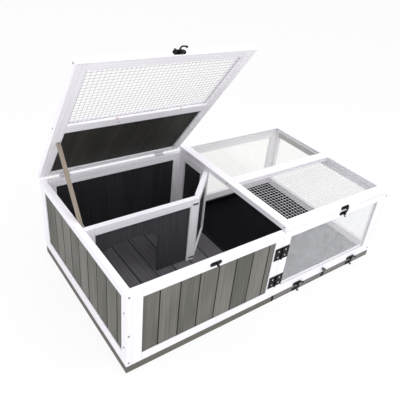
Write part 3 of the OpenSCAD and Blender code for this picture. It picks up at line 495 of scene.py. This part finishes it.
def board_axes(corners, across):
    """A solid's own axes: to its side, out of its widest face, and along its longest edge."""
    edges = {e for v in corners for e in v.link_edges}
    faces = {f for v in corners for f in v.link_faces}
    longest = max(edges, key=lambda e: (round(e.calc_length(), 6), -e.index))
    widest = max(faces, key=lambda f: (round(f.calc_area(), 9), -f.index))
    along = (longest.verts[1].co - longest.verts[0].co).normalized()
    out = widest.normal.copy()
    side = along.cross(out).normalized()
    return (along, out, side) if across else (side, out, along)


def mark_boards(bm, eased, across, latches):
    """Gives each solid coordinates along its own length and a tone of its own, and marks its eased edges,
    its 45 degree seam faces and, among screws, the black ones of the latches."""
    place = bm.verts.layers.float_vector.new("board_place")
    tone = bm.verts.layers.float.new("board_tone")
    edge_mark = bm.faces.layers.float.new("board_edge")
    seam_mark = bm.faces.layers.float.new("board_seam")
    dark_mark = bm.verts.layers.float.new("dark_head")
    for face in bm.faces:
        face[edge_mark] = 1.0 if face in eased else 0.0
    for corners in sorted(islands(bm), key=lambda found: min(v.index for v in found)):
        number = next(board_numbers)
        side, out, along = board_axes(corners, across)
        shift = Vector([number * step % 1 for step in BOARD_STEPS]) * PATTERN_REACH
        middle = sum((corner.co for corner in corners), Vector()) / len(corners) - CORNER
        bright = abs(middle.x - DOOR_SEAM_X) < BRIGHT_REACH or middle.y > BRIGHT_REAR_Y
        for face in {f for v in corners for f in v.link_faces}:
            face[seam_mark] = 1.0 if SEAM_COSINES[0] < abs(face.normal.dot(out)) < SEAM_COSINES[1] else 0.0
        for corner in corners:
            corner[dark_mark] = 1.0 if latches and not bright else 0.0
            corner[place] = Vector([corner.co.dot(axis) for axis in (side, out, along)]) + shift
            corner[tone] = number * BOARD_STEPS[0] % 1 * 2 - 1


def add_piece(name, bm, body, slot, material, replaced=()):
    """A mesh as an object that rides on a body and stands for CAD nodes."""
    mesh = bpy.data.meshes.new(name)
    bm.to_mesh(mesh)
    bm.free()
    mesh.materials.append(material)
    piece = bpy.data.objects.new(name, mesh)
    bpy.context.scene.collection.objects.link(piece)
    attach(piece, body)
    if replaced:
        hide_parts(*replaced)


def dress(node, material, slot, ease=0.0, rounded=False, across=False, latches=False):
    """A clean copy of a CAD node with its long edges eased, ready for its finish."""
    bm = bmesh.new()
    bm.from_mesh(nodes[node].data)
    bmesh.ops.remove_doubles(bm, verts=bm.verts, dist=1e-6)
    bmesh.ops.dissolve_limit(bm, angle_limit=FLAT_TURN, verts=bm.verts, edges=bm.edges)
    eased = set()
    if ease:
        edges = [e for e in bm.edges if len(e.link_faces) == 2 and e.is_convex
                 and e.calc_face_angle(0.0) > EASED_TURN and e.calc_length() > EASED_LENGTH]
        made = bmesh.ops.bevel(bm, geom=edges, offset=ease, offset_type="OFFSET", segments=2, profile=0.5,
                               affect="EDGES", clamp_overlap=False, material=-1)
        eased = set(made["faces"])
    bm.verts.index_update()
    bm.edges.index_update()
    bm.faces.index_update()
    mark_boards(bm, eased, across, latches)
    for face in bm.faces:
        face.smooth = rounded
    if rounded:
        for edge in bm.edges:
            edge.smooth = len(edge.link_faces) == 2 and edge.calc_face_angle(0.0) < SMOOTH_TURN
    add_piece(node + "_finished", bm, nodes[node]["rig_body"], slot, material, (node,))


# Wood, each node with its finish, its slot and the ease of its edges in millimetres
WOOD = [
    ("base_frame", base_grey, "base_paint", 0.8), ("bottom_panel", base_grey, "base_paint", 0.3),
    ("middle_runner", runner_black, "black_paint", 0.5), ("floor_planks", floor_stain_and_shade, "grey_planks", 0.4),
    ("left_wall_frame", white, "white_paint", 0.8), ("left_wall_planks", grey_planks, "grey_planks", 0.3),
    ("front_panel_frame", white, "white_paint", 0.8),
    ("front_panel_planks", grey_planks, "grey_planks", 0.3),
    ("rear_left_frame", white, "white_paint", 0.8), ("rear_left_planks", black_planks, "black_paint", 0.3),
    ("rear_right_frame", white, "white_paint", 0.8), ("right_wall_frame", white, "white_paint", 0.8),
    ("right_wall_top_rail", rail_grey, "grey_wash", 0.8), ("partition_frame", white, "white_paint", 0.8),
    ("slanted_frame", white, "white_paint", 0.8), ("side_partition_frame", white, "white_paint", 0.8),
    ("left_lid_frame", lid_white, "white_paint", 0.8), ("right_lid_frame", white, "white_paint", 0.8),
    ("door_frame", white, "white_paint", 0.8), ("tray_front", tray_grey, "base_paint", 0.8),
    ("prop_stick", stick_wood, "bare_wood", 0.6),
]
for wood_node, finish, wood_slot, wood_ease in WOOD:
    dress(wood_node, finish, wood_slot, wood_ease * MM)

# Boards whose grain runs across their longest edge
for panel_node, finish, panel_slot in (
        ("left_lid_board", dark_board, "dark_board"), ("partition_panel", panel_grey, "dark_board"),
        ("slanted_panel", black_planks, "dark_board"),
        ("side_partition_panel", black_planks, "black_paint")):
    dress(panel_node, finish, panel_slot, 0.4 * MM, across=True)

for pane_node in ("rear_pane", "right_pane", "right_lid_pane"):
    dress(pane_node, clear, "clear_acrylic", 0.3 * MM)
dress("door_pane", door_clear, "clear_acrylic", 0.3 * MM)

for fitting in ("front_keeper", "left_lid_latch_plate", "right_lid_keeper", "door_latch_plates",
                "tray_keepers", "left_lid_hook", "top_hook", "lower_hook_left", "lower_hook_right",
                "door_hinge_pins", "door_hinge_leaves_fixed", "door_leaves"):
    dress(fitting, black_metal, "black_metal", rounded=True)
dress("door_knob", grey_knob, "black_metal", rounded=True)
for fitting in ("lid_hinge_leaves_fixed", "lid_hinge_pins", "left_lid_leaves", "right_lid_leaves",
                "prop_pivot"):
    dress(fitting, zinc, "zinc", rounded=True)
dress("frame_screws", dull_screws, "screw_steel", rounded=True)
for fitting in ("hinge_screws", "left_lid_screws", "right_lid_screws", "door_screws", "tray_screws"):
    dress(fitting, screw_steel, "screw_steel", rounded=True, latches=True)
dress("tray_pan", tray_black, "black_paint", 0.5 * MM)
dress("tray_pull", strap_black, "strap", 0.5 * MM)


# Welded wire nets

NET_PITCH = 12.7 * MM
WIRE_RADIUS = 0.44 * MM
WIRE_SIDES = 6
NET_GRIP = 4 * MM

# How far each layer's axis is from the middle of the net, so that the layers are pressed into each other
LAYER_SHIFT = WIRE_RADIUS * 0.85


def wire(bm, start, end):
    """A straight round wire between two points."""
    start, end = Vector(start), Vector(end)
    run = end - start
    turn = UP.rotation_difference(run).to_matrix().to_4x4()
    bmesh.ops.create_cone(bm, cap_ends=True, segments=WIRE_SIDES, radius1=WIRE_RADIUS, radius2=WIRE_RADIUS,
                          depth=run.length, matrix=Matrix.Translation((start + end) / 2) @ turn)


def lid_net(node, body, lid_x, placing, finish):
    """The half-inch welded net of a lid: one layer of wires lies on the other."""
    bm = bmesh.new()
    low_x, high_x = lid_x + LID_RAIL, lid_x + LID_WIDTH - LID_RAIL
    low_y, high_y = LID_RAIL, LID_MID_Y
    columns = round((high_x - low_x) / NET_PITCH)
    rows = round((high_y - low_y) / NET_PITCH)
    lower, upper = LID_NET_Z - LAYER_SHIFT, LID_NET_Z + LAYER_SHIFT
    for i in range(columns):
        x = low_x + (i + 0.5) * (high_x - low_x) / columns
        wire(bm, (x, low_y - NET_GRIP, lower), (x, high_y + NET_GRIP, lower))
    for j in range(rows):
        y = low_y + (j + 0.5) * (high_y - low_y) / rows
        wire(bm, (low_x - NET_GRIP, y, upper), (high_x + NET_GRIP, y, upper))
    bmesh.ops.transform(bm, matrix=placing @ Matrix.Translation(CORNER), verts=bm.verts)
    for face in bm.faces:
        face.smooth = len(face.verts) == 4
    add_piece(node + "_wires", bm, body, "wire", finish, (node,))


# The open left lid's net takes the darker painted-shade copy of the wire, and the right lid's net takes
# the near-white painted-light copy
lid_net("left_lid_net", "left_lid", 0.0, opening(), wire_painted_shaded)
lid_net("right_lid_net", "right_lid", RIGHT_LID_X, Matrix.Identity(4), wire_painted_lit)


# Nails and screws that the model doesn't have, and dark strips of painted shade at the partition's joints

# Centres of the heads, from the corner of the base, in metres
NAIL_SPOTS = [(x, -0.15 * MM, z) for x, z in ((0.0586, 0.0206), (0.124, 0.0166), (0.513, 0.004))]
PARTITION_SCREW_SPOTS = [(3.7 * MM, 0.29, z) for z in (0.1035, 0.231)]
SIDE_SCREW_SPOTS = [(-0.2 * MM, 0.011, 0.302), (-0.2 * MM, 0.299, 0.303)]

# The two radii of a head and how thick it is
NAIL_SIZE = (1.3 * MM, 1.0 * MM, 0.5 * MM)
PARTITION_SCREW_SIZE = (2.6 * MM, 3.0 * MM, 1.2 * MM)
SIDE_SCREW_SIZE = (2.8 * MM, 3.2 * MM, 1.0 * MM)

# Dark strips across the joint of the partition's right post, painted shade for the gaps there
STRIP_SIZE = (0.021, 0.0008, 0.006)
STRIP_X = 0.3925
STRIP_FACE_Y = 0.281
STRIP_HEIGHTS = (0.0465, 0.269)


def heads(name, body, slot, material, spots, size, sides, facing, placing):
    """Round heads, each a short cone turned about the facing axis."""
    bm = bmesh.new()
    for spot in spots:
        turn = Matrix.Rotation(QUARTER_TURN, 4, facing)
        stood = placing @ Matrix.Translation(CORNER + Vector(spot)) @ turn
        bmesh.ops.create_cone(bm, cap_ends=True, segments=sides, radius1=size[0], radius2=size[1],
                              depth=size[2], matrix=stood)
    add_piece(name, bm, body, slot, material)


def joint_shadow_strips():
    """Thin dark blue strips that lie on the face of the partition's post: painted shade for the gaps at
    its joints.
    """
    bm = bmesh.new()
    size = Matrix.Diagonal(Vector((*STRIP_SIZE, 1.0)))
    for height in STRIP_HEIGHTS:
        spot = CORNER + Vector((STRIP_X, STRIP_FACE_Y - STRIP_SIZE[1] / 2, height))
        bmesh.ops.create_cube(bm, size=1.0, matrix=Matrix.Translation(spot) @ size)
    add_piece("partition_joint_shadow_strips", bm, "enclosure", "screw_steel", joint_shadow_blue)


heads("base_nails", "enclosure", "black_metal", black_metal, NAIL_SPOTS, NAIL_SIZE, 16, "X",
      Matrix.Identity(4))
joint_shadow_strips()
heads("partition_screws", "enclosure", "screw_steel", dull_screws, PARTITION_SCREW_SPOTS,
      PARTITION_SCREW_SIZE, 24, "Y", Matrix.Identity(4))
heads("left_lid_side_screws", "left_lid", "screw_steel", dull_screws, SIDE_SCREW_SPOTS,
      SIDE_SCREW_SIZE, 24, "Y", opening())
heads("right_lid_side_screws", "right_lid", "screw_steel", dull_screws, SIDE_SCREW_SPOTS,
      SIDE_SCREW_SIZE, 24, "Y", Matrix.Translation((RIGHT_LID_X, 0, 0)))


# Floor, light and camera

FLOOR_HALF = 40.0
FLOOR_WHITE = (0.9, 0.9, 0.9, 1)

# How much of the floor's look is its own white. The rest is its light and shadow.
FLOOR_GLOW = 0.86

SKY_STRENGTH = 0.9
SKY_COLOUR = (0.995, 0.98, 1.025, 1)

# Each lamp's name, place, width and power
SOFTBOXES = [
    ("key_softbox", (0.5, -1.9, 3.0), 2.4, 38),
    ("fill_softbox", (-2.2, -0.8, 2.2), 2.0, 12),
]
LAMP_TARGET = Vector((0, 0, 0.15))

# The photograph's camera, fitted to edges and corners of the enclosure
CAMERA_PLACE = (-0.9014, -1.03104, 1.09106)
CAMERA_RIGHT = (0.79097, -0.60038, 0.11792)
CAMERA_UP = (0.24574, 0.48822, 0.8374)
CAMERA_BACK = (-0.56033, -0.63339, 0.53371)
CAMERA_SENSOR, CAMERA_LENS = 36, 41.66
CAMERA_SHIFT = (-0.0638, 0.0062)
CAMERA_CLIP = (0.05, 200)


def plainly_seen(tree):
    """1 where the camera looks straight at it, or in a reflection or through glass."""
    light_path = put(tree, "ShaderNodeLightPath")
    reflected = calc(tree, "MAXIMUM", light_path.outputs["Is Glossy Ray"],
                     light_path.outputs["Is Transmission Ray"])
    return calc(tree, "MAXIMUM", light_path.outputs["Is Camera Ray"], reflected)


def studio_floor():
    """A plain pale floor that stays near white where the camera sees it, and keeps the shadow."""
    bm = bmesh.new()
    bmesh.ops.create_grid(bm, x_segments=1, y_segments=1, size=FLOOR_HALF)
    mesh = bpy.data.meshes.new("studio_floor")
    bm.to_mesh(mesh)
    bm.free()
    floor = bpy.data.objects.new("studio_floor", mesh)
    bpy.context.scene.collection.objects.link(floor)
    material, tree, shader = new_material("pale_floor", 0.9)
    shader.inputs["Base Color"].default_value = FLOOR_WHITE
    glow = put(tree, "ShaderNodeEmission", {"Color": (1, 1, 1, 1), "Strength": 1.0})
    seen = calc(tree, "MULTIPLY", plainly_seen(tree), FLOOR_GLOW)
    both = put(tree, "ShaderNodeMixShader", {0: seen, 1: shader.outputs[0], 2: glow.outputs[0]})
    tree.links.new(both.outputs[0], tree.nodes["Material Output"].inputs["Surface"])
    mesh.materials.append(material)


def sky():
    """A white surrounding: plain white where it is seen, and gentler as a light."""
    world = bpy.data.worlds.new("studio")
    world.use_nodes = True
    tree = world.node_tree
    lighting = tree.nodes["Background"]
    lighting.inputs["Color"].default_value = SKY_COLOUR
    lighting.inputs["Strength"].default_value = SKY_STRENGTH
    backdrop = put(tree, "ShaderNodeBackground", {"Color": (1, 1, 1, 1), "Strength": 1.0})
    both = put(tree, "ShaderNodeMixShader",
               {0: plainly_seen(tree), 1: lighting.outputs[0], 2: backdrop.outputs[0]})
    tree.links.new(both.outputs[0], tree.nodes["World Output"].inputs["Surface"])
    bpy.context.scene.world = world


def softbox(name, place, size, power):
    """A square lamp that faces the middle of the enclosure."""
    data = bpy.data.lights.new(name, "AREA")
    data.shape = "SQUARE"
    data.size = size
    data.energy = power
    lamp = bpy.data.objects.new(name, data)
    lamp.location = place
    lamp.rotation_mode = "QUATERNION"
    lamp.rotation_quaternion = (LAMP_TARGET - Vector(place)).to_track_quat("-Z", "Y")
    bpy.context.scene.collection.objects.link(lamp)


def camera():
    """The photograph's camera: its place, the way it is turned, and its lens."""
    data = bpy.data.cameras.new("photo_camera")
    data.sensor_width = CAMERA_SENSOR
    data.lens = CAMERA_LENS
    data.shift_x, data.shift_y = CAMERA_SHIFT
    data.clip_start, data.clip_end = CAMERA_CLIP
    made = bpy.data.objects.new("photo_camera", data)
    turn = Matrix((CAMERA_RIGHT, CAMERA_UP, CAMERA_BACK)).transposed()
    made.matrix_world = Matrix.Translation(CAMERA_PLACE) @ turn.to_4x4()
    bpy.context.scene.collection.objects.link(made)
    bpy.context.scene.camera = made


studio_floor()
sky()
for softbox_values in SOFTBOXES:
    softbox(*softbox_values)
camera()

bpy.context.scene.view_settings.view_transform = "Standard"
